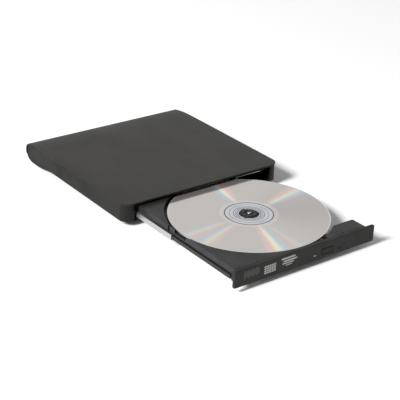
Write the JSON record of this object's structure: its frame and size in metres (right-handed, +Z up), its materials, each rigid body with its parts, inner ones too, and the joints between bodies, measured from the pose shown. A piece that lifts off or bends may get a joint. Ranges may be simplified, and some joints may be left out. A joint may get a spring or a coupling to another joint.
{
  "type": "external optical drive",
  "caption": "Slim disc drive in a low desktop case with a raised rear, tray open on side rails with a disc on its spindle, eject button in the front plate.",
  "frame": {"origin": "on the surface the feet stand on, under the middle of the whole drive with its tray open", "axes": "+Z up, +Y towards the rear of the case, so the tray opens towards -Y, and +X to the right as seen from the front"},
  "size_m": [0.147, 0.266, 0.019],
  "materials": {
    "case_top": "fine brushed charcoal",
    "case_plastic": "satin charcoal",
    "tray_plastic": "fine moulded texture",
    "bezel_plastic": "satin",
    "black_plastic": "matt moulded",
    "cream_plastic": "moulded",
    "lamp_plastic": "milky translucent",
    "circuit_board": "solder resist",
    "ribbon": "flat flexible cable",
    "rubber": "matt",
    "sheet_steel": "galvanised sheet",
    "bright_steel": "polished",
    "black_steel": "black oxide",
    "brass": "drawn",
    "disc": "polycarbonate over a metal layer",
    "lens_glass": "coated"
  },
  "bodies": {
    "case": {"top_cover": "case_top", "bottom_shell": "case_plastic", "foot_front_left": "rubber", "foot_front_right": "rubber", "foot_rear_left": "rubber", "foot_rear_right": "rubber", "case_screw_1": "black_steel", "case_screw_2": "black_steel", "case_screw_3": "black_steel", "case_screw_4": "black_steel", "drive_pan": "sheet_steel", "drive_cover": "sheet_steel", "rail_guide_left": "black_plastic", "rail_guide_right": "black_plastic", "drive_connector": "black_plastic", "bridge_connector": "cream_plastic", "bridge_board": "circuit_board", "bridge_chip": "black_plastic", "bridge_crystal": "sheet_steel", "usb_socket": "sheet_steel", "ribbon_cable": "ribbon", "latch_post": "bright_steel"},
    "tray": {"tray": "tray_plastic", "bezel": "bezel_plastic", "tray_bottom_plate": "sheet_steel", "tray_screw_1": "bright_steel", "tray_screw_2": "bright_steel", "tray_screw_3": "bright_steel", "tray_screw_4": "bright_steel", "lamp_lens": "lamp_plastic", "front_board": "circuit_board", "eject_switch": "black_plastic", "control_board": "circuit_board", "control_chip": "black_plastic", "driver_chip": "black_plastic", "ribbon_socket": "cream_plastic", "latch_solenoid": "brass", "latch_pin": "bright_steel", "mechanism_frame": "sheet_steel", "guide_rod_left": "bright_steel", "guide_rod_right": "bright_steel", "spindle_base": "circuit_board", "sled_motor": "sheet_steel"},
    "left_rail": {"rail_left": "bright_steel"},
    "right_rail": {"rail_right": "bright_steel"},
    "button": {"eject_button": "bezel_plastic"},
    "spindle": {"turntable": "black_steel", "hub": "black_plastic", "optical_disc": "disc"},
    "sled": {"pickup_sled": "black_plastic"},
    "lens": {"lens_holder": "black_plastic", "objective_lens": "lens_glass"},
    "screw": {"lead_screw": "brass"},
    "latch": {"latch_hook": "cream_plastic"}
  },
  "joints": [
    {"name": "tray_slide", "type": "slide", "parent": "case", "child": "tray", "axis": [0, 1, 0], "range_m": [0, 0.118]},
    {"name": "left_rail_slide", "type": "slide", "parent": "case", "child": "left_rail", "axis": [0, 1, 0], "range_m": [0, 0.059]},
    {"name": "right_rail_slide", "type": "slide", "parent": "case", "child": "right_rail", "axis": [0, 1, 0], "range_m": [0, 0.059]},
    {"name": "eject_press", "type": "slide", "parent": "tray", "child": "button", "axis": [0, 1, 0], "range_m": [0, 0.0008], "stiffness_N_per_m": 300},
    {"name": "disc_spin", "type": "hinge", "parent": "tray", "child": "spindle", "pos_m": [0.0014, -0.0664, 0.0136], "axis": [0, 0, 1], "continuous": true},
    {"name": "sled_travel", "type": "slide", "parent": "tray", "child": "sled", "axis": [0, -1, 0], "range_m": [0, 0.03]},
    {"name": "screw_turn", "type": "hinge", "parent": "tray", "child": "screw", "pos_m": [-0.028, -0.0915, 0.0094], "axis": [0, 1, 0], "range_deg": [-5, 3605]},
    {"name": "lens_focus", "type": "slide", "parent": "sled", "child": "lens", "axis": [0, 0, 1], "range_m": [-0.0003, 0.0004], "stiffness_N_per_m": 60},
    {"name": "latch_swing", "type": "hinge", "parent": "tray", "child": "latch", "pos_m": [0.0188, -0.024, 0.0085], "axis": [0, 0, -1], "range_deg": [0, 12]}
  ],
  "couplings": [
    {"joint": "left_rail_slide", "follows": "tray_slide", "ratio": 0.5},
    {"joint": "right_rail_slide", "follows": "tray_slide", "ratio": 0.5},
    {"joint": "screw_turn", "follows": "sled_travel", "rad_per_m": 2094.4}
  ]
}
